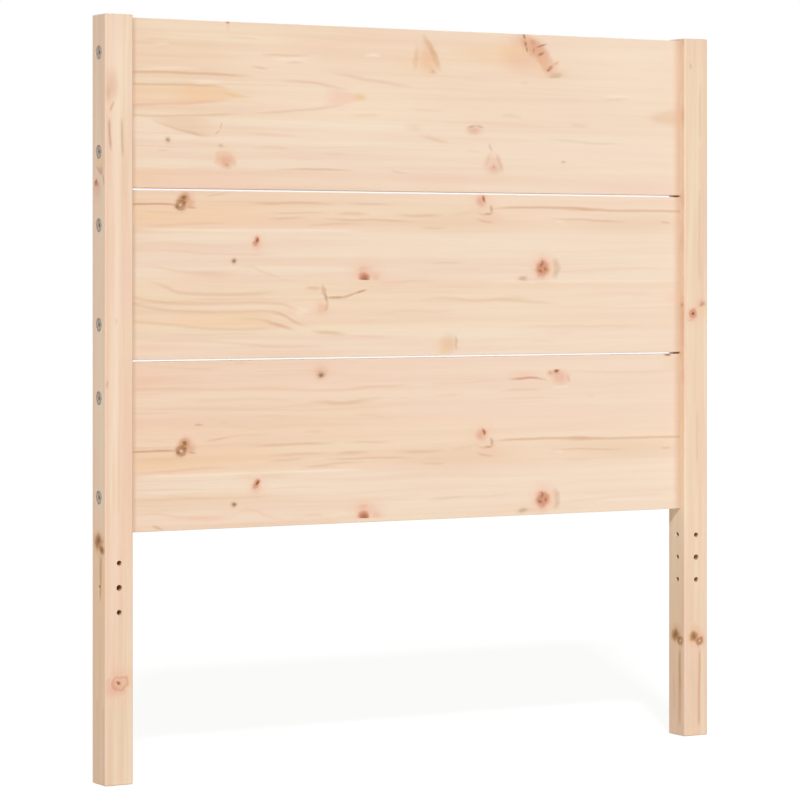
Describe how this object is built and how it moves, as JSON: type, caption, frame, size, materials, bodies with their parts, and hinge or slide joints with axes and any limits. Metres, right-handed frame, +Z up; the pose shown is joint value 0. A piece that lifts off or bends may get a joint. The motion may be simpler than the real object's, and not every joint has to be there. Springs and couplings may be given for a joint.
{
  "type": "pine headboard",
  "caption": "Pine headboard of wide horizontal boards bolted between square posts that reach the floor as legs drilled for bed rails.",
  "frame": {"origin": "on the floor, midway between the posts and midway through their depth", "axes": "+X across the width, to the right as seen from the front; the front, which the mattress and rails meet, faces -Y; +Z up"},
  "size_m": [0.955, 0.04, 1],
  "materials": {
    "pine": "planed, unvarnished",
    "zinc": "zinc-plated, satin",
    "beech": "turned"
  },
  "bodies": {
    "root": {"left_post": "pine", "right_post": "pine", "top_board": "pine", "middle_board": "pine", "bottom_board": "pine", "dowel_left_top": "beech", "bolt_left_top_upper": "zinc", "barrel_nut_left_top_upper": "zinc", "bolt_left_top_lower": "zinc", "barrel_nut_left_top_lower": "zinc", "dowel_left_middle": "beech", "bolt_left_middle_upper": "zinc", "barrel_nut_left_middle_upper": "zinc", "bolt_left_middle_lower": "zinc", "barrel_nut_left_middle_lower": "zinc", "dowel_left_bottom": "beech", "bolt_left_bottom_upper": "zinc", "barrel_nut_left_bottom_upper": "zinc", "bolt_left_bottom_lower": "zinc", "barrel_nut_left_bottom_lower": "zinc", "dowel_right_top": "beech", "bolt_right_top_upper": "zinc", "barrel_nut_right_top_upper": "zinc", "bolt_right_top_lower": "zinc", "barrel_nut_right_top_lower": "zinc", "dowel_right_middle": "beech", "bolt_right_middle_upper": "zinc", "barrel_nut_right_middle_upper": "zinc", "bolt_right_middle_lower": "zinc", "barrel_nut_right_middle_lower": "zinc", "dowel_right_bottom": "beech", "bolt_right_bottom_upper": "zinc", "barrel_nut_right_bottom_upper": "zinc", "bolt_right_bottom_lower": "zinc", "barrel_nut_right_bottom_lower": "zinc"}
  },
  "joints": []
}
